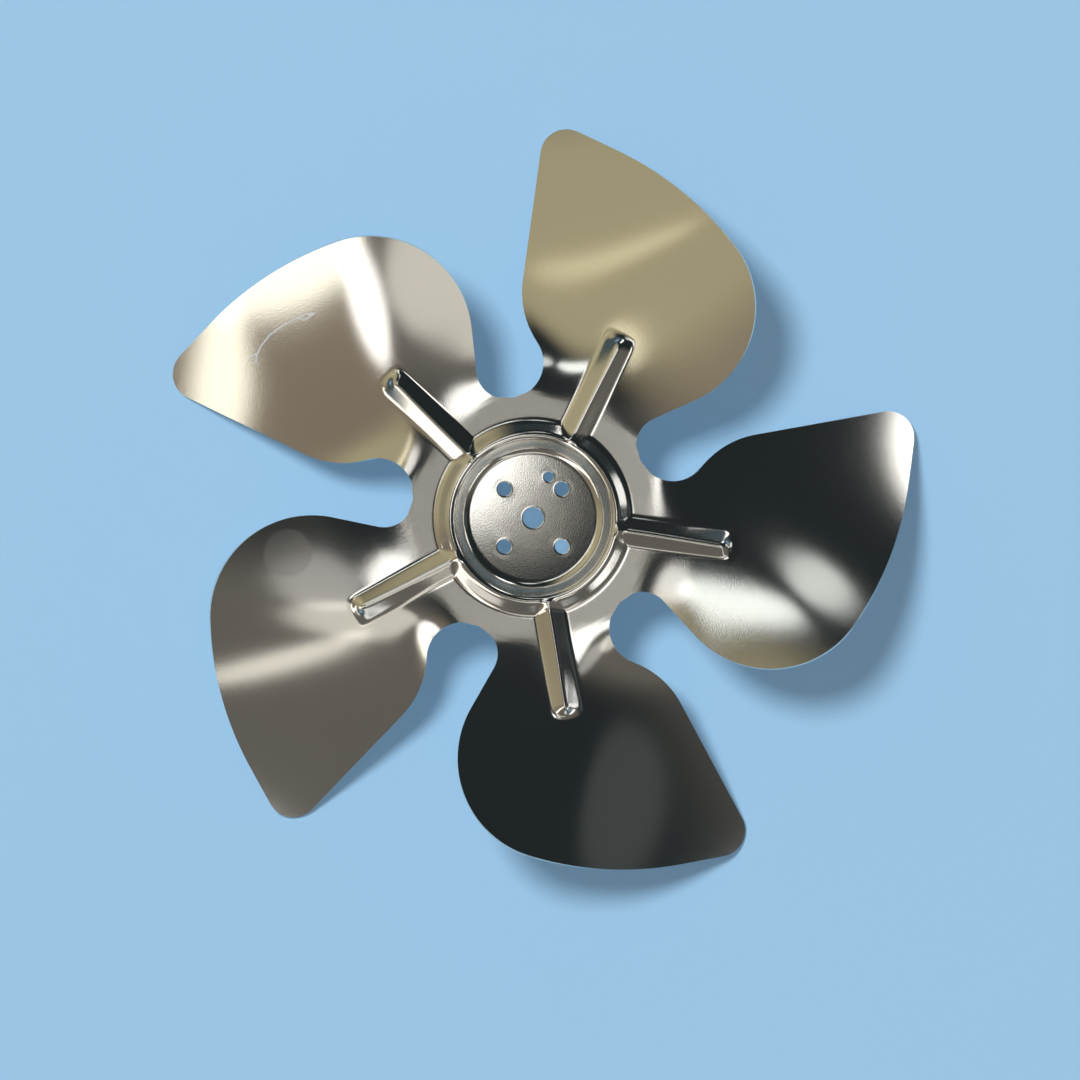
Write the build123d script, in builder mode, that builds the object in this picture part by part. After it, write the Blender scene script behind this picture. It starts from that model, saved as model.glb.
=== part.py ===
"""Axial fan impeller: one aluminium sheet, blanked, pierced and pressed into cup, ribs and blades."""

from build123d import *
from math import cos, cosh, exp, log, pi, radians, sin, sqrt, tan
import os

# The blank. Each blade has its own frame, with X along its rib and Y towards its trailing edge.
blade_count = 5
thickness = 1.0
first_rib_angle = -8.3
notch_bottom_radius = 35.8
trailing_notch_run = 15.9
leading_notch_run = 9.8
trailing_notch_radius = 10.6
leading_notch_radius = 8.5
trailing_shoulder = (52.6, 30.8)
trailing_shoulder_radius = 26.0
trailing_corner = (108.0, 49.3)
trailing_corner_radius = 7.7
tip = (108.5, 3.2)
tip_radius = 95.0
leading_lobe = (81.3, -51.4)
leading_lobe_radius = 30.0

# Blade form: flat at the root, pitched further out, and bent along a crease that widens.
root_flat_width = 4.2
pitch_onset = 11.5
pitch = 28.0
pitch_radius = 105.0
pitch_gain = 0.0088
bend_slope = 0.255
crease_inner = (45.0, 7.0)
crease_outer = (100.0, -12.5)
crease_inner_width = 4.5
crease_outer_width = 36.0

# The stretch that the blade's sections cover, a little past the blank's edges.
neck_radius = 40.0
neck_reach = 21.0
neck_flare = 0.85
leading_reach = 37.0
trailing_reach = 49.0
section_end_radius = 112.0
section_count = 17
leading_point_count = 6
trailing_point_count = 7

# Hub: a cup with a flat floor, inside a raised ring.
ring_height = 3.0
cup_depth = 5.0
cup_floor_radius = 19.8
cup_wall_run = 4.0
ring_top_width = 1.4
ring_wall_run = 3.6
cup_floor_bend = 2.5
ring_edge_bend = 1.2
ring_foot_bend = 2.0

# Ribs: a narrow crest that runs from the ring along the middle of each blade.
rib_height = 2.7
rib_crest_width = 0.8
rib_leading_width = 4.0
rib_trailing_width = 4.6
rib_full_radius = 56.0
rib_end_radius = 60.5

# Holes in the cup floor.
bore_radius = 3.1
screw_hole_radius = 2.1
screw_hole_spacing = 17.0
locating_hole_radius = 1.5
locating_hole_place = (4.6, 12.1)

# Heights are measured from the underside of the cup floor, which seats on the motor's hub.
sector = 360 / blade_count
root_height = thickness + cup_depth - ring_height
ring_inner_radius = cup_floor_radius + cup_wall_run
ring_outer_radius = ring_inner_radius + ring_top_width
ring_foot_radius = ring_outer_radius + ring_wall_run
root_flat_radius = ring_foot_radius + root_flat_width


def notch_point(side, run):
    """A point on the notch's bottom line, square to the line midway between two ribs."""
    half_sector = radians(sector / 2)
    x = notch_bottom_radius * cos(half_sector) + run * sin(half_sector)
    y = notch_bottom_radius * sin(half_sector) - run * cos(half_sector)
    return (x, side * y)


def blade_rise(x, y):
    """Height of the blade's upper face over the root plane; the trailing edge lies low."""
    turn = 1 - exp(-(((x - root_flat_radius) / pitch_onset) ** 2))
    turn *= 1 + pitch_gain * (x - pitch_radius)
    out = (x - crease_inner[0]) / (crease_outer[0] - crease_inner[0])
    crease = crease_inner[1] + out * (crease_outer[1] - crease_inner[1])
    width = crease_inner_width + max(out, 0) * (crease_outer_width - crease_inner_width)
    bend = bend_slope * width * log(cosh((y - crease) / width) / cosh(crease / width))
    return -turn * (tan(radians(pitch)) * y + bend)


def rib_rise(x):
    """Height of the rib's crest over the blade, which runs out at the rib's end."""
    out = min(max((x - rib_full_radius) / (rib_end_radius - rib_full_radius), 0), 1)
    return rib_height * (1 + cos(pi * out)) / 2


def sheet_depth(x, y):
    """The sheet's thickness measured straight down, which grows with the blade's slope."""
    step = 0.1
    slope = (blade_rise(x, y + step) - blade_rise(x, y - step)) / (2 * step)
    return thickness * sqrt(1 + slope**2)


def stations(start, end, count):
    """Evenly spaced values from start to end."""
    return [start + (end - start) * step / (count - 1) for step in range(count)]


def section_plane(x):
    """The plane square to a rib, its own X along the blade's Y and its own Y upwards."""
    return Plane(origin=(x, 0, root_height), x_dir=(0, 1, 0), z_dir=(1, 0, 0))


def blade_section(x):
    """Closed section of the sheet at one station, with the rib standing at its middle."""
    reach = neck_reach + neck_flare * max(x - neck_radius, 0)
    leading_ys = stations(-min(reach, leading_reach), -rib_leading_width, leading_point_count)
    trailing_ys = stations(rib_trailing_width, min(reach, trailing_reach), trailing_point_count)
    crest_ys = (-rib_crest_width / 2, rib_crest_width / 2)
    with BuildSketch(section_plane(x)) as section:
        with BuildLine():
            for share in (0, 1):
                leading = [(y, blade_rise(x, y) - share * sheet_depth(x, y)) for y in leading_ys]
                trailing = [(y, blade_rise(x, y) - share * sheet_depth(x, y)) for y in trailing_ys]
                crest = [
                    (y, blade_rise(x, y) + rib_rise(x) - share * sheet_depth(x, y)) for y in crest_ys
                ]
                Spline(*leading)
                Polyline(leading[-1], *crest, trailing[0])
                Spline(*trailing)
            for y in (leading_ys[0], trailing_ys[-1]):
                Line((y, blade_rise(x, y)), (y, blade_rise(x, y) - sheet_depth(x, y)))
        make_face()
    return section.sketch


def rib_root(shift):
    """The straight stretch of a rib from inside the ring's wall over the root plate, moved down."""
    crest = rib_crest_width / 2
    sink = thickness / 2
    leading_foot = rib_leading_width + sink * (rib_leading_width - crest) / rib_height
    trailing_foot = rib_trailing_width + sink * (rib_trailing_width - crest) / rib_height
    ring_wall = Plane(
        origin=(ring_foot_radius, 0, root_height),
        z_dir=(ring_height, 0, ring_wall_run),
    )
    with BuildPart() as rib:
        with BuildSketch(section_plane(ring_inner_radius)):
            with BuildLine():
                Polyline(
                    (-leading_foot, -sink - shift),
                    (-crest, rib_height - shift),
                    (crest, rib_height - shift),
                    (trailing_foot, -sink - shift),
                    close=True,
                )
            make_face()
        extrude(amount=root_flat_radius - ring_inner_radius)
        split(bisect_by=ring_wall.offset(-sink - shift), keep=Keep.TOP)
    return rib.part


# Outline of one blade, with its share of the hub.
with BuildSketch() as blade_outline:
    with BuildLine():
        FilletPolyline(
            notch_point(1, 0),
            notch_point(1, trailing_notch_run),
            trailing_shoulder,
            trailing_corner,
            tip,
            leading_lobe,
            notch_point(-1, leading_notch_run),
            notch_point(-1, 0),
            radius=[
                trailing_notch_radius,
                trailing_shoulder_radius,
                trailing_corner_radius,
                tip_radius,
                leading_lobe_radius,
                leading_notch_radius,
            ],
        )
        Polyline(notch_point(-1, 0), (0, 0), notch_point(1, 0))
    make_face()

# One blade with its rib, lofted through sections square to the rib, then cut to the outline.
with BuildPart() as blade:
    for x in stations(root_flat_radius, section_end_radius, section_count):
        add(blade_section(x))
    loft()
    with BuildSketch(Plane.XY.offset(-section_end_radius)):
        add(blade_outline.sketch)
    extrude(amount=2 * section_end_radius, mode=Mode.INTERSECT)

# Upper face of the hub, from its middle to the root plate, as radius and height.
hub_plane = Plane(origin=(0, 0, root_height), x_dir=(1, 0, 0), z_dir=(0, -1, 0))
hub_profile = [
    (0, ring_height - cup_depth),
    (cup_floor_radius, ring_height - cup_depth),
    (ring_inner_radius, ring_height),
    (ring_outer_radius, ring_height),
    (ring_foot_radius, 0),
    (ring_foot_radius + ring_foot_bend, 0),
]
hub_bends = [cup_floor_bend, ring_edge_bend, ring_edge_bend, ring_foot_bend]

# The whole sheet: hub and root plate, then ribs, hollow below, and blades, then pierced holes.
with BuildPart() as impeller:
    with BuildSketch(hub_plane):
        with BuildLine():
            FilletPolyline(*hub_profile, radius=hub_bends)
            offset(amount=thickness, side=Side.RIGHT)
        make_face()
    revolve(axis=Axis.Z)

    with BuildSketch(Plane.XY.offset(root_height)):
        with PolarLocations(0, blade_count, start_angle=first_rib_angle):
            add(blade_outline.sketch)
        RegularPolygon(
            root_flat_radius,
            blade_count,
            major_radius=False,
            rotation=first_rib_angle + sector / 2,
            mode=Mode.INTERSECT,
        )
        Circle(ring_foot_radius + ring_foot_bend, mode=Mode.SUBTRACT)
    extrude(amount=-thickness)

    with PolarLocations(0, blade_count, start_angle=first_rib_angle):
        add(rib_root(0))
    with PolarLocations(0, blade_count, start_angle=first_rib_angle):
        add(rib_root(thickness), mode=Mode.SUBTRACT)
    with PolarLocations(0, blade_count, start_angle=first_rib_angle):
        add(blade.part)

    with BuildSketch(Plane.XY.offset(thickness)):
        Circle(bore_radius)
        with GridLocations(screw_hole_spacing, screw_hole_spacing, 2, 2):
            Circle(screw_hole_radius)
        with Locations(locating_hole_place):
            Circle(locating_hole_radius)
    extrude(amount=-thickness, mode=Mode.SUBTRACT)

impeller.part.label = "impeller"
os.makedirs("parts", exist_ok=True)
export_step(impeller.part, "parts/impeller.step")
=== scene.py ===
"""Axial fan impeller: the pressed aluminium sheet, its finish, and the studio that it lies in."""

import bpy
import bmesh
import numpy as np
from math import acos, cos, cosh, exp, hypot, log, pi, radians, sin, sqrt, tan
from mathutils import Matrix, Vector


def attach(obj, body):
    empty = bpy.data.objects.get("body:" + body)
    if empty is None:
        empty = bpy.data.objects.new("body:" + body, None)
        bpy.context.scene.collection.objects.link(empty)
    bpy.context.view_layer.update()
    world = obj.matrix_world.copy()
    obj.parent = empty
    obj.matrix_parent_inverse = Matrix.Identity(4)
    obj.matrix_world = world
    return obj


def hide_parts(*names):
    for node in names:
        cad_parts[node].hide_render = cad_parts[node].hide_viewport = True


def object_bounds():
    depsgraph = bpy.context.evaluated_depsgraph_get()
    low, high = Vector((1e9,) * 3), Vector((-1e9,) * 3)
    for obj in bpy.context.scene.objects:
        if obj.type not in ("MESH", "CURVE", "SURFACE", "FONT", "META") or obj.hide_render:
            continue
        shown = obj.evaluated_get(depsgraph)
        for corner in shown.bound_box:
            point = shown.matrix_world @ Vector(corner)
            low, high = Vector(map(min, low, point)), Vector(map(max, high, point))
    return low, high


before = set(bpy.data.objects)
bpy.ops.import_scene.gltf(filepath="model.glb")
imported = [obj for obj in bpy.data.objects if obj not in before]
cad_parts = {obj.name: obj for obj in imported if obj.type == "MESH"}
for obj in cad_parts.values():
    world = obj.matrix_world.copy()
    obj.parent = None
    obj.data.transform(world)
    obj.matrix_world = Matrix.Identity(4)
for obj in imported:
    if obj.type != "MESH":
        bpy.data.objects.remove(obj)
cad_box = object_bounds()

# ---------------------------------------------------------------------------------------------
# The impeller: one sheet of 1 mm bright rolled aluminium, blanked into five blades on one hub and
# pierced, then pressed into a cup with a raised ring, five ribs and five twisted blades. It is
# screwed to the motor's hub through the floor of the cup.
# ---------------------------------------------------------------------------------------------

# The blank, in millimetres, in the frame of one blade: X runs along its rib, and Y towards its
# trailing edge. Each corner has the radius that rounds it.
mm = 0.001
blade_count = 5
sector = 2 * pi / blade_count
first_rib_angle = radians(-8.3)
thickness = 1.0
notch_bottom_radius = 35.8
trailing_notch_run = 15.9
leading_notch_run = 9.8
outline_step = radians(2)
outline_spacing = 0.3


def notch_point(side, run):
    """A point on the notch's bottom line, square to the line midway between two ribs."""
    x = notch_bottom_radius * cos(sector / 2) + run * sin(sector / 2)
    y = notch_bottom_radius * sin(sector / 2) - run * cos(sector / 2)
    return (x, side * y)


blank_corners = [
    (notch_point(1, 0), 0),
    (notch_point(1, trailing_notch_run), 10.6),
    ((52.6, 30.8), 26.0),
    ((108.0, 49.3), 7.7),
    ((108.5, 3.2), 95.0),
    ((81.3, -51.4), 30.0),
    (notch_point(-1, leading_notch_run), 8.5),
    (notch_point(-1, 0), 0),
]


def rounded_outline(corners):
    """Points along a polyline whose corners are arcs of the given radii."""
    points = [corners[0][0]]
    for (before, _), (corner, radius), (after, _) in zip(corners, corners[1:], corners[2:]):
        back = np.subtract(before, corner) / hypot(*np.subtract(before, corner))
        ahead = np.subtract(after, corner) / hypot(*np.subtract(after, corner))
        half_angle = acos(float(np.dot(back, ahead))) / 2
        middle = (back + ahead) / hypot(*(back + ahead))
        centre = np.array(corner) + middle * radius / sin(half_angle)
        start = np.array(corner) + back * radius / tan(half_angle) - centre
        side = np.sign(start[1] * back[0] - start[0] * back[1])
        turn = pi - 2 * half_angle
        for step in np.linspace(0, side * turn, 2 + int(turn / outline_step)):
            arm_x = start[0] * cos(step) - start[1] * sin(step)
            arm_y = start[0] * sin(step) + start[1] * cos(step)
            points.append(tuple(centre + (arm_x, arm_y)))
    return points + [corners[-1][0]]


def distance_run(points):
    """Distance along a polyline from its start to each of its points."""
    return np.concatenate(([0], np.cumsum(np.hypot(*np.diff(points, axis=0).T))))


# The outline's points are evenly spaced, and each edge of the blade is then read as the angle at
# which it crosses a circle about the bore.
bends = np.array(rounded_outline(blank_corners))
run = distance_run(bends)
along = np.arange(0, run[-1], outline_spacing)
outline = np.column_stack([np.interp(along, run, bends[:, axis]) for axis in (0, 1)])
outline_radii = np.hypot(outline[:, 0], outline[:, 1])
outline_angles = np.arctan2(outline[:, 1], outline[:, 0])
farthest = int(outline_radii.argmax())
reach = float(outline_radii[farthest])


def edge_angle(side, radius):
    """The angle from the rib at which a circle of this radius crosses one edge of the blade."""
    if side > 0:
        radii, angles = outline_radii[: farthest + 1], outline_angles[: farthest + 1]
    else:
        radii, angles = outline_radii[farthest:][::-1], outline_angles[farthest:][::-1]
    return float(np.interp(radius, radii, angles))


# The pressed form: the cup's floor seats on the motor's hub, the ring stiffens its rim, each rib
# stiffens a blade's root, and the blades are twisted out of the root plane, with a soft crease.
# Heights are in millimetres over the underside of the cup floor, for the sheet's upper face.
root_height = 3.0
floor_height = 1.0
floor_dish = 0.5
cup_floor_radius = 19.8
ring_inner_radius = 23.8
ring_outer_radius = 25.2
ring_foot_radius = 28.8
ring_height = 3.0
cup_bend = 1.2
ring_bend = 0.5
foot_bend = 0.8
rib_ring_blend = 2.2

root_flat_radius = 33.0
pitch_onset = 11.5
pitch = radians(28.0)
pitch_radius = 105.0
pitch_gain = 0.0088
bend_slope = 0.255
crease_inner = (45.0, 7.0)
crease_outer = (100.0, -12.5)
crease_inner_width = 4.5
crease_outer_width = 36.0

rib_height = 2.7
rib_crest = 0.4
rib_leading_width = 4.0
rib_trailing_width = 4.6
rib_full_radius = 56.0
rib_end_radius = 60.5
rib_crest_bend = 0.35
rib_foot_bend = 0.7


def eased(share):
    """Smooth step from 0 to 1 as the share goes from 0 to 1."""
    share = min(max(share, 0), 1)
    return share * share * (3 - 2 * share)


def bent(distance, width):
    """Rises by 1 for each 1 past the fold at 0, with the fold rounded over the width each way."""
    if distance <= -width:
        return 0
    return distance if distance >= width else (distance + width) ** 2 / (4 * width)


def ring_rise(radius):
    """Height over the root plane of the cup, the ring and the ring's foot."""
    depth = root_height + ring_height - floor_height - floor_dish
    wall = depth / (ring_inner_radius - cup_floor_radius)
    slope = ring_height / (ring_foot_radius - ring_outer_radius)
    rise = floor_height - root_height + floor_dish * min(radius / cup_floor_radius, 1) ** 2
    rise += wall * bent(radius - cup_floor_radius, cup_bend)
    rise -= wall * bent(radius - ring_inner_radius, ring_bend)
    rise -= slope * bent(radius - ring_outer_radius, ring_bend)
    return rise + slope * bent(radius - ring_foot_radius, foot_bend)


def rib_rise(x, y):
    """Height of the rib over the blade, which runs out at the rib's end and inside the ring."""
    width = rib_trailing_width if y > 0 else rib_leading_width
    out = min(max((x - rib_full_radius) / (rib_end_radius - rib_full_radius), 0), 1)
    slope = rib_height / (width - rib_crest)
    flank = bent(abs(y) - rib_crest, rib_crest_bend) - bent(abs(y) - width, rib_foot_bend)
    inward = eased((x - ring_inner_radius) / (ring_outer_radius - ring_inner_radius))
    return (rib_height - slope * flank) * inward * (1 + cos(pi * out)) / 2


def blade_rise(x, y):
    """Height of the blade over the root plane; the trailing edge lies low."""
    if x <= root_flat_radius:
        return 0
    turn = 1 - exp(-(((x - root_flat_radius) / pitch_onset) ** 2))
    turn *= 1 + pitch_gain * (x - pitch_radius)
    out = (x - crease_inner[0]) / (crease_outer[0] - crease_inner[0])
    crease = crease_inner[1] + out * (crease_outer[1] - crease_inner[1])
    width = crease_inner_width + max(out, 0) * (crease_outer_width - crease_inner_width)
    bend = bend_slope * width * log(cosh((y - crease) / width) / cosh(crease / width))
    return -turn * (tan(pitch) * y + bend)


def higher(first, second, blend):
    """The higher of two heights, with the valley between them filled in over the blend."""
    gap = max(blend - abs(first - second), 0)
    return max(first, second) + gap * gap / (4 * blend) * eased(min(first, second) / blend)


def sheet_height(x, y):
    """Height of the sheet's upper face in one blade's frame."""
    radius = hypot(x, y)
    rise = ring_rise(radius)
    if radius > (ring_inner_radius + ring_outer_radius) / 2:
        rise = higher(rise, rib_rise(x, y), rib_ring_blend)
    return root_height + rise + blade_rise(x, y)


# Rows lie on circles about the bore, close where the sheet is bent and where its edge turns.
fill_radius = 18.0
hub_row = 0.42
hub_rows_end = 31.5
rib_row = 1.3
rib_end_row = 0.55
rib_end_reach = 4.0
rib_end_middle = rib_end_radius - 1.0
blade_row = 1.9
edge_row = 1.5
least_row = 0.16
tip_inset = 0.02
join_distance = 0.01
row_radii = list(np.arange(fill_radius, hub_rows_end, hub_row))
while row_radii[-1] < reach - least_row:
    radius = row_radii[-1]
    step = rib_end_row if abs(radius - rib_end_middle) < rib_end_reach else rib_row
    if radius > rib_end_radius + rib_end_reach:
        step = blade_row
    if radius > notch_bottom_radius:
        for side in (1, -1):
            swing = abs(edge_angle(side, radius + least_row) - edge_angle(side, radius))
            travel = radius * swing / least_row
            step = min(step, edge_row / sqrt(1 + travel * travel))
    if radius < notch_bottom_radius < radius + step:
        step = notch_bottom_radius - radius
    row_radii.append(radius + max(step, least_row))
row_radii[-1] = reach - tip_inset

# Columns are close together along the rib, and spread out evenly beyond its end.
rib_column = 0.45
rib_columns = 14
side_columns = 13
rib_columns_share = 0.6
spread_start = 61.0
spread_end = 80.0


def column_angle(column, radius):
    """Angle from the rib of one column, from -27 at the leading edge to 27 at the trailing."""
    lead, trail = -sector / 2, sector / 2
    if radius > notch_bottom_radius:
        lead, trail = edge_angle(-1, radius), edge_angle(1, radius)
    side = 1 if column > 0 else -1
    count = abs(column)
    edge = abs(trail if column > 0 else lead)
    all_columns = rib_columns + side_columns
    even = lead + (trail - lead) * (column + all_columns) / (2 * all_columns)
    near = min(rib_columns * rib_column / radius, edge * rib_columns_share)
    close = near * count / rib_columns
    if count > rib_columns:
        close = near + (edge - near) * (count - rib_columns) / side_columns
    spread = eased((radius - spread_start) / (spread_end - spread_start))
    return side * close * (1 - spread) + even * spread


# One fifth of the sheet is a grid laid on those rows and columns, and its copies are turned about
# the bore and joined to it.
bpy.ops.object.select_all(action="DESELECT")
columns = 2 * (rib_columns + side_columns)
rows = len(row_radii) - 1
bpy.ops.mesh.primitive_grid_add(x_subdivisions=columns, y_subdivisions=rows, size=1)
impeller = bpy.context.object
impeller.name = "impeller_sheet"
for vertex in impeller.data.vertices:
    column = round((vertex.co.x + 0.5) * columns) - columns // 2
    radius = row_radii[round((vertex.co.y + 0.5) * rows)]
    angle = column_angle(column, radius)
    height = sheet_height(radius * cos(angle), radius * sin(angle))
    angle += first_rib_angle
    vertex.co = (radius * cos(angle) * mm, radius * sin(angle) * mm, height * mm)

bpy.ops.object.mode_set(mode="EDIT")
bpy.ops.mesh.select_mode(type="VERT")
bpy.ops.mesh.select_all(action="SELECT")
for copy in range(blade_count - 1):
    bpy.ops.mesh.duplicate()
    bpy.ops.transform.rotate(value=sector, orient_axis="Z", center_override=(0, 0, 0))
bpy.ops.mesh.select_all(action="SELECT")
bpy.ops.mesh.remove_doubles(threshold=join_distance * mm)

# The cup floor has the motor shaft's bore, four screw holes and one locating hole, all pierced.
# Drawing the cup left the floor very slightly dished.
bore = (0, 0, 3.1)
locating_hole = (4.6, 12.1, 1.5)
screw_place = 8.5
screw_hole_radius = 2.1
screw_places = [(x, y) for x in (-screw_place, screw_place) for y in (-screw_place, screw_place)]
floor_holes = [bore, locating_hole] + [(x, y, screw_hole_radius) for x, y in screw_places]
hole_sides = 48
edge_reach = 0.1
rim_width = 0.35
rim_margin = 0.3
rim_drop = 0.07

bpy.ops.mesh.select_all(action="DESELECT")
for x, y, radius in floor_holes:
    size = radius + rim_width + rim_margin
    centre = (x * mm, y * mm, floor_height * mm)
    bpy.ops.mesh.primitive_circle_add(vertices=hole_sides, radius=size * mm, location=centre)
sheet = bmesh.from_edit_mesh(impeller.data)
for edge in sheet.edges:
    middle = (edge.verts[0].co + edge.verts[1].co) / 2
    inner_edge = edge.is_boundary and middle.xy.length < (fill_radius + edge_reach) * mm
    edge.select_set(edge.is_wire or inner_edge)
bmesh.update_edit_mesh(impeller.data)
bpy.ops.mesh.select_mode(type="EDGE")
bpy.ops.mesh.fill(use_beauty=True)
bpy.ops.mesh.subdivide(number_cuts=2)
for vertex in sheet.verts:
    radius = vertex.co.xy.length / mm
    if radius < fill_radius + hub_row:
        vertex.co.z = (root_height + ring_rise(radius)) * mm
bmesh.update_edit_mesh(impeller.data)

# The punch drew each hole's rim down a little, so a narrow lip runs around it.
lip_steps = ((rim_margin, 0), (rim_width / 2, rim_drop / 4), (rim_width / 2, rim_drop))
for x, y, radius in floor_holes:
    size = radius + rim_width + rim_margin
    centre = (x * mm, y * mm, floor_height * mm)
    for shrink, drop in lip_steps:
        bpy.ops.mesh.select_all(action="DESELECT")
        sheet = bmesh.from_edit_mesh(impeller.data)
        for edge in sheet.edges:
            middle = (edge.verts[0].co + edge.verts[1].co) / 2
            away = hypot(middle.x - x * mm, middle.y - y * mm)
            edge.select_set(edge.is_boundary and away < (size + join_distance) * mm)
        bmesh.update_edit_mesh(impeller.data)
        inward = (size - shrink) / size
        bpy.ops.mesh.extrude_edges_move()
        bpy.ops.transform.resize(value=(inward, inward, 1), center_override=centre)
        bpy.ops.transform.translate(value=(0, 0, -drop * mm))
        size -= shrink
bpy.ops.mesh.select_mode(type="VERT")
bpy.ops.mesh.select_all(action="SELECT")
bpy.ops.mesh.normals_make_consistent(inside=False)
bpy.ops.object.mode_set(mode="OBJECT")
if impeller.data.polygons[0].normal.z < 0:
    impeller.data.flip_normals()

# The sheet's thickness lies under its upper face, and its cut edges are rubbed down a little.
cut_edge_break = 0.13
cut_edge_angle = radians(62)
smooth_angle = radians(38)
solidify = impeller.modifiers.new("thickness", "SOLIDIFY")
solidify.thickness = thickness * mm
solidify.offset = -1
solidify.use_even_offset = True
edge_break = impeller.modifiers.new("cut edges", "BEVEL")
edge_break.width = cut_edge_break * mm
edge_break.segments = 1
edge_break.limit_method = "ANGLE"
edge_break.angle_limit = cut_edge_angle
for modifier in ("thickness", "cut edges"):
    bpy.ops.object.modifier_apply(modifier=modifier)
bpy.ops.object.shade_smooth_by_angle(angle=smooth_angle)


def linear(code):
    """An sRGB hex colour as linear red, green, blue and alpha."""
    parts = [int(code[place : place + 2], 16) / 255 for place in (0, 2, 4)]
    return [part / 12.92 if part <= 0.04045 else ((part + 0.055) / 1.055) ** 2.4 for part in parts] + [1]


def add_node(tree, kind, settings=None, inputs=None):
    """Adds one node, sets its own settings, and fills or links its inputs."""
    node = tree.nodes.new(kind)
    for name, value in (settings or {}).items():
        setattr(node, name, value)
    for name, value in (inputs or {}).items():
        if isinstance(value, bpy.types.NodeSocket):
            tree.links.new(value, node.inputs[name])
        else:
            node.inputs[name].default_value = value
    return node


# Bright rolled aluminium mirrors the room softly. Its grain is finer than this, and is drawn as
# coarse as it needs to show: it breaks the highlights' edges into specks along the rolling.
grain_size = 0.3
grain_stretch = 0.55
grain_height = 0.009
rolling_angle = radians(-35)
clean_roughness = 0.115
dulled_roughness = 0.19
rolled_aluminium = bpy.data.materials.new("bright rolled aluminium")
rolled_aluminium.use_nodes = True
tree = rolled_aluminium.node_tree
metal = tree.nodes["Principled BSDF"]
place = add_node(tree, "ShaderNodeTexCoord")
grains_per_metre = 1 / (grain_size * mm)
along_roll = add_node(
    tree,
    "ShaderNodeMapping",
    inputs={
        "Vector": place.outputs["Object"],
        "Rotation": (0, 0, rolling_angle),
        "Scale": (grains_per_metre, grain_stretch * grains_per_metre, grains_per_metre),
    },
)
grain = add_node(
    tree,
    "ShaderNodeTexNoise",
    inputs={"Vector": along_roll.outputs["Vector"], "Scale": 1.0, "Detail": 2.0},
)
grain_bump = add_node(
    tree,
    "ShaderNodeBump",
    inputs={"Height": grain.outputs["Fac"], "Strength": 1.0, "Distance": grain_height * mm},
)
tree.links.new(grain_bump.outputs["Normal"], metal.inputs["Normal"])

# Handling left one faint round patch on a blade, a little duller than the rest.
patch_centre = (-72.3, -10.4, 0)
patch_radius = 7.6
patch_edge = 1.2
on_plane = add_node(
    tree,
    "ShaderNodeMapping",
    inputs={"Vector": place.outputs["Object"], "Scale": (1 / mm, 1 / mm, 0)},
)
from_patch = add_node(
    tree,
    "ShaderNodeVectorMath",
    {"operation": "DISTANCE"},
    {0: on_plane.outputs["Vector"], 1: patch_centre},
)
dulled = add_node(
    tree,
    "ShaderNodeMapRange",
    {"interpolation_type": "SMOOTHSTEP"},
    {
        "Value": from_patch.outputs["Value"],
        "From Min": patch_radius,
        "From Max": patch_radius - patch_edge,
        "To Min": clean_roughness,
        "To Max": dulled_roughness,
    },
)
tree.links.new(dulled.outputs["Result"], metal.inputs["Roughness"])
metal.inputs["Base Color"].default_value = linear("e6e3dc")
metal.inputs["Metallic"].default_value = 1.0
impeller.data.materials.append(rolled_aluminium)

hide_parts("impeller")
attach(impeller, "root")

# ---------------------------------------------------------------------------------------------
# The turning arrow: a fine bead coined into the face of one blade in the same press. It points
# the way that the impeller turns, has an outlined head, and stands a hair proud of the sheet.
# ---------------------------------------------------------------------------------------------
arrow_blade = 2
bead_radius = 0.3
bead_depth = 0.06
bead_step = 0.6
arrow_shaft = [(-81.8, 45.4), (-81.6, 47.8), (-80.2, 50.7), (-77.6, 53.9), (-74.0, 56.5)]
arrow_shaft += [(-70.1, 58.5), (-68.8, 59.0)]
arrow_tail = [(-83.6, 46.4), (-83.2, 47.3), (-82.5, 48.1), (-81.6, 48.3)]
arrow_head = [(-68.8, 59.0), (-68.7, 59.8), (-64.2, 60.3), (-67.7, 58.2), (-68.8, 59.0)]
blade_turn = first_rib_angle + arrow_blade * sector
bead = bpy.data.curves.new("turning_arrow", "CURVE")
bead.dimensions = "3D"
bead.bevel_depth = bead_radius * mm
bead.bevel_resolution = 1
bead.use_fill_caps = True
for stroke in (arrow_shaft, arrow_tail, arrow_head):
    corners = np.array(stroke)
    run = distance_run(corners)
    along = np.linspace(0, run[-1], 2 + int(run[-1] / bead_step))
    xs, ys = (np.interp(along, run, corners[:, axis]) for axis in (0, 1))
    line = bead.splines.new("POLY")
    line.points.add(len(along) - 1)
    for point, x, y in zip(line.points, xs, ys):
        on_rib = x * cos(blade_turn) + y * sin(blade_turn)
        off_rib = y * cos(blade_turn) - x * sin(blade_turn)
        height = sheet_height(on_rib, off_rib)
        point.co = (x * mm, y * mm, (height - bead_depth) * mm, 1)
arrow = bpy.data.objects.new("turning_arrow", bead)
bpy.context.scene.collection.objects.link(arrow)
bpy.ops.object.select_all(action="DESELECT")
bpy.context.view_layer.objects.active = arrow
arrow.select_set(True)
bpy.ops.object.convert(target="MESH")
arrow = bpy.context.object

# The die left the coined line finely scuffed, so it is matt and looks whiter than the sheet.
coined_line = rolled_aluminium.copy()
coined_line.name = "coined aluminium line"
coined_metal = coined_line.node_tree.nodes["Principled BSDF"]
coined_line.node_tree.links.remove(coined_metal.inputs["Roughness"].links[0])
coined_metal.inputs["Roughness"].default_value = 0.6
coined_metal.inputs["Metallic"].default_value = 0.5
coined_metal.inputs["Base Color"].default_value = linear("ffffff")
arrow.data.materials.clear()
arrow.data.materials.append(coined_line)
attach(arrow, "root")

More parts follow.
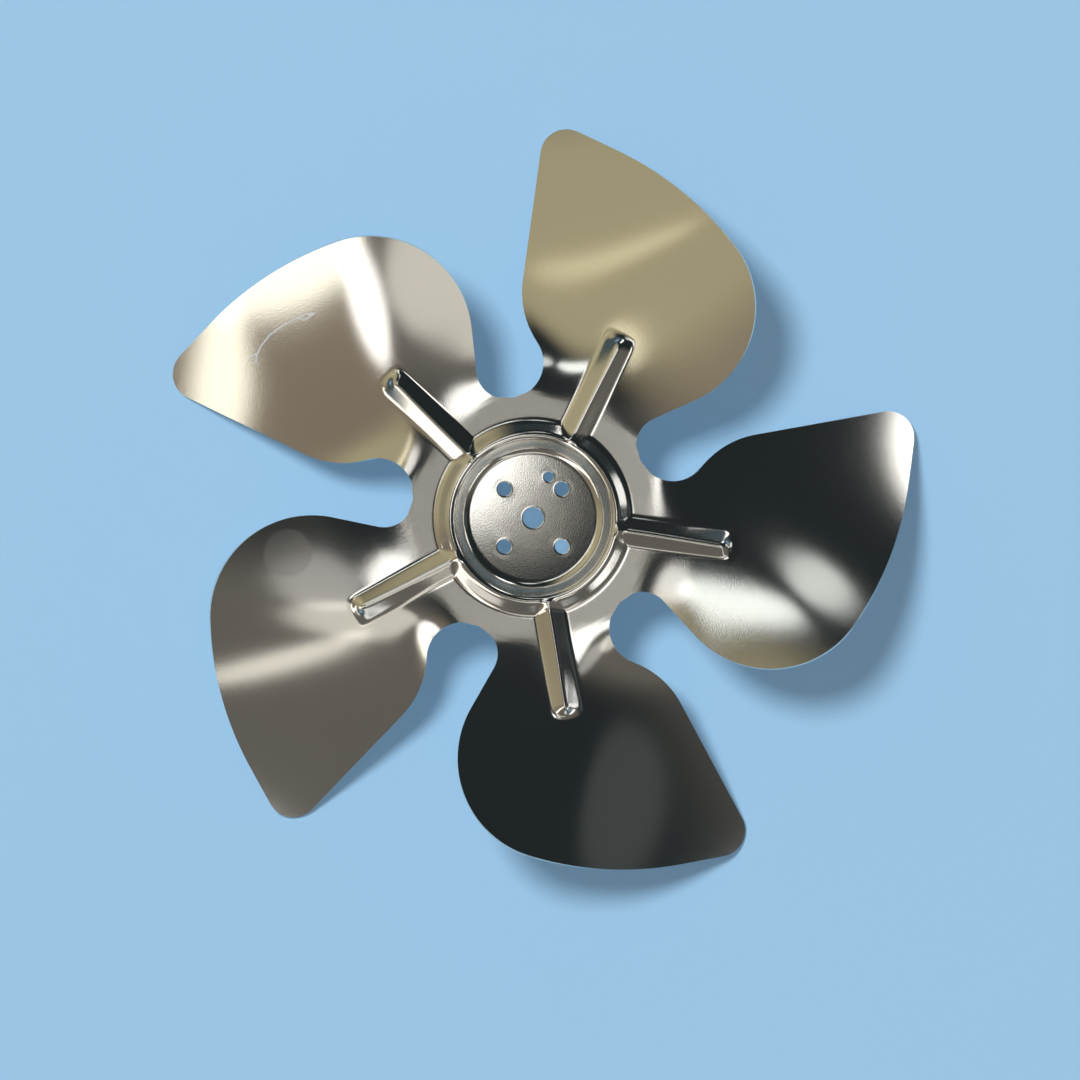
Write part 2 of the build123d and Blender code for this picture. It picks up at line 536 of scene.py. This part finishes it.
# ---------------------------------------------------------------------------------------------
# The studio: a plain pale blue paper floor under the sheet's lowest corners, and a light tent of
# warm cloth on its left and dark cloth on its right, with oval softboxes in it. The camera looks
# straight down. A direction is an azimuth from +X and a lean from straight up, in degrees.
# ---------------------------------------------------------------------------------------------
pale_blue = "9cc6e6"
neutral_grey = "7f7f7f"
floor_size = 8.0
floor_own_light = 0.17
bpy.ops.object.select_all(action="DESELECT")
bpy.ops.mesh.primitive_plane_add(size=floor_size, location=(0, 0, cad_box[0][2]))
floor = bpy.context.object
floor.name = "floor"


def seen_or_mirrored(tree):
    """1 for rays that come from the camera, a mirroring surface or glass, and 0 for the rest."""
    rays = add_node(tree, "ShaderNodeLightPath").outputs
    either = rays["Is Camera Ray"]
    for other in ("Is Glossy Ray", "Is Transmission Ray"):
        inputs = {0: either, 1: rays[other]}
        either = add_node(tree, "ShaderNodeMath", {"operation": "MAXIMUM"}, inputs).outputs[0]
    return either


# Matt paper gives the floor one even tone under a soft shadow, with a little light of its own.
paper = bpy.data.materials.new("pale blue paper")
paper.use_nodes = True
tree = paper.node_tree
matt = tree.nodes["Principled BSDF"]
matt.inputs["Base Color"].default_value = linear(pale_blue)
matt.inputs["Roughness"].default_value = 0.9
matt.inputs["Emission Color"].default_value = linear(pale_blue)
inputs = {0: seen_or_mirrored(tree), 1: floor_own_light}
own_light = add_node(tree, "ShaderNodeMath", {"operation": "MULTIPLY"}, inputs)
tree.links.new(own_light.outputs[0], matt.inputs["Emission Strength"])
floor.data.materials.append(paper)

# The world lights the paper with a neutral grey, and is pale blue where it is seen or mirrored.
world = bpy.data.worlds.new("studio")
bpy.context.scene.world = world
world.use_nodes = True
tree = world.node_tree
inputs = {"Factor": seen_or_mirrored(tree), 6: linear(neutral_grey), 7: linear(pale_blue)}
backdrop = add_node(tree, "ShaderNodeMix", {"data_type": "RGBA"}, inputs)
tree.links.new(backdrop.outputs[2], tree.nodes["Background"].inputs["Color"])

tent_radius = 15.0
bpy.ops.mesh.primitive_uv_sphere_add(segments=48, ring_count=24, radius=tent_radius)
tent = bpy.context.object
tent.name = "light_tent"
tent.visible_camera = False
tent.visible_diffuse = False
tent.visible_shadow = False

# Glowing cloth is what the bright metal mirrors between the lamps: warm on the left, with near
# black on the right, so that some blades look pale and others dark.
cloth = bpy.data.materials.new("tent cloth")
cloth.use_nodes = True
tree = cloth.node_tree
tree.nodes.clear()
place = add_node(tree, "ShaderNodeTexCoord")
direction = add_node(tree, "ShaderNodeSeparateXYZ", inputs={"Vector": place.outputs["Object"]})

# Each join passes smoothly from one cloth to the next along an axis, between two places that are
# given as shares of the tent's radius.
cloth_joins = (
    ("right", "Y", -0.01, -0.46, "1f2426", "5b5955"),
    ("left", "Y", 0.10, -0.35, "9b9479", "776d60"),
    ("all round", "X", -0.17, -0.49, "right", "left"),
    ("down to the horizon", "Z", 0.22, 0.10, "all round", "38444a"),
)
cloth_level = 1.3
cloths = {}
for name, axis, start, end, *pair in cloth_joins:
    share = add_node(
        tree,
        "ShaderNodeMapRange",
        {"interpolation_type": "SMOOTHSTEP"},
        {
            "Value": direction.outputs[axis],
            "From Min": start * tent_radius,
            "From Max": end * tent_radius,
        },
    )
    first, second = (cloths[side] if side in cloths else linear(side) for side in pair)
    inputs = {"Factor": share.outputs["Result"], 6: first, 7: second}
    join = add_node(tree, "ShaderNodeMix", {"data_type": "RGBA"}, inputs)
    cloths[name] = join.outputs[2]
inputs = {"Color": cloths["down to the horizon"], "Strength": cloth_level}
glow = add_node(tree, "ShaderNodeEmission", inputs=inputs)
add_node(tree, "ShaderNodeOutputMaterial", inputs={"Surface": glow.outputs["Emission"]})
tent.data.materials.append(cloth)

lamp_distance = 10.0


def softbox(name, azimuth, lean, wide, tall, slant, level, colour="ffffff", on_metal=True):
    """An oval lamp that faces the bore, its width and height given as angles seen from there.

    At level 1 it looks white. The metal mirrors it but nothing else is lit by it, or, where
    on_metal is off, it lights the paper and casts the shadow but isn't mirrored.
    """
    lamp = bpy.data.lights.new(name, "AREA")
    lamp.shape = "ELLIPSE"
    lamp.size = 2 * lamp_distance * tan(radians(wide / 2))
    lamp.size_y = 2 * lamp_distance * tan(radians(tall / 2))
    lamp.color = linear(colour)[:3]
    lamp.energy = level * pi * lamp.size * lamp.size_y * pi / 4
    holder = bpy.data.objects.new(name, lamp)
    bpy.context.scene.collection.objects.link(holder)
    across = lamp_distance * sin(radians(lean))
    holder.location = (
        across * cos(radians(azimuth)),
        across * sin(radians(azimuth)),
        lamp_distance * cos(radians(lean)),
    )
    holder.rotation_euler = (0, radians(lean), radians(azimuth))
    holder.rotation_euler.rotate_axis("Z", radians(slant - azimuth))
    holder.visible_camera = False
    holder.visible_glossy = on_metal
    holder.visible_diffuse = not on_metal


# The key lamp casts the shadow. The strips and arcs draw the bright bands on the blades, and the
# low ones light the outer wall of the hub's ring.
softbox("key", 135, 21, 13, 13, 0, 51.0, on_metal=False)
softbox("strip inner", 144, 17, 13, 11, 3, 0.95)
softbox("strip", 113, 28.5, 8, 28, -17, 1.35, "f8ffff")
softbox("strip outer", 87, 48, 15, 9, 55, 0.85, "f8ffff")
softbox("far top", 66, 79.5, 19, 9, -2, 2.2)
softbox("left front", -123, 40, 13, 17, 0, 1.6)
softbox("left band", -131, 62.5, 46, 14, 13, 1.4, "fffff4")
softbox("left side", -153, 71.5, 9, 20, 16, 1.3, "fffff0")
softbox("right arc", -42, 29, 14, 21, -19, 0.35)
softbox("front arc", -80, 34, 35, 20, 2, 0.58, "fffdf4")
softbox("front crease", -66, 53.5, 27, 4.5, -48, 0.9, "fffdf4")
softbox("back arc", 158, 29, 28, 4.5, 120, 0.7, "fff6dc")
softbox("back band", 143.5, 57, 22, 4, 54, 0.42, "fff3d0")
softbox("centre", -39, 11, 17, 17, 0, 1.5)
softbox("overhead", -45, 2, 10, 10, 0, 0.33, "f6f3ea")
softbox("low side", 18, 81, 22, 9, 98, 1.2)
softbox("low right", -5, 85, 26, 6, 85, 1.2)
softbox("low front right", -36, 81, 30, 9, 54, 1.4)
softbox("low front", -77, 83.5, 34, 7, 13, 0.9)
softbox("low front left", -125, 81, 30, 9, -35, 0.7)
softbox("right grey", 2, 60, 22, 14, 5, 0.05, "f0feff")

# The camera stands far off with a long lens, so that all of the sheet is seen from straight above.
frame_width = 318.5
camera_height = 12.0
sensor_width = 36
view_centre = (2.03 * mm, -6.6 * mm)
camera_data = bpy.data.cameras.new("camera")
camera_data.sensor_width = sensor_width
camera_data.lens = sensor_width * camera_height / (frame_width * mm)
camera = bpy.data.objects.new("camera", camera_data)
camera.location = (*view_centre, camera_height)
bpy.context.scene.collection.objects.link(camera)
bpy.context.scene.camera = camera
bpy.context.scene.view_settings.view_transform = "Standard"
